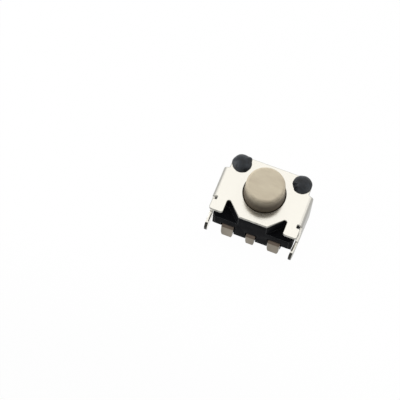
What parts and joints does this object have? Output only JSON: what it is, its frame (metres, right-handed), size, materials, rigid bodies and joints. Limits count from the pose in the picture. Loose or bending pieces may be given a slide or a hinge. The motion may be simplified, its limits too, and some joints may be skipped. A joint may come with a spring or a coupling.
{
  "type": "tactile push button switch",
  "caption": "Side-push tactile switch with a round tapered button, a stamped metal cover with side wings and locating legs, and bent solder terminals on one side.",
  "frame": {"origin": "on the back face of the housing, where the button's axis meets it", "axes": "+Z along the button's axis, out of the cover plate; +X along the width; -Y towards the board, where the terminals are soldered"},
  "size_m": [0.0062, 0.0048, 0.005],
  "materials": {
    "housing_plastic": "satin moulded black",
    "cover_metal": "bright plated sheet",
    "button_plastic": "satin moulded beige",
    "dome_metal": "plated spring steel",
    "terminal_metal": "bright plated sheet"
  },
  "bodies": {
    "switch_body": {"base_housing": "housing_plastic", "cover_frame": "cover_metal", "snap_dome": "dome_metal", "terminal_left": "terminal_metal", "terminal_centre": "terminal_metal", "terminal_right": "terminal_metal"},
    "button": {"push_button": "button_plastic"}
  },
  "joints": [
    {"name": "button_press", "type": "slide", "parent": "switch_body", "child": "button", "axis": [0, 0, -1], "range_m": [0, 0.00025], "stiffness_N_per_m": 6400, "deforming": ["snap_dome"]}
  ]
}
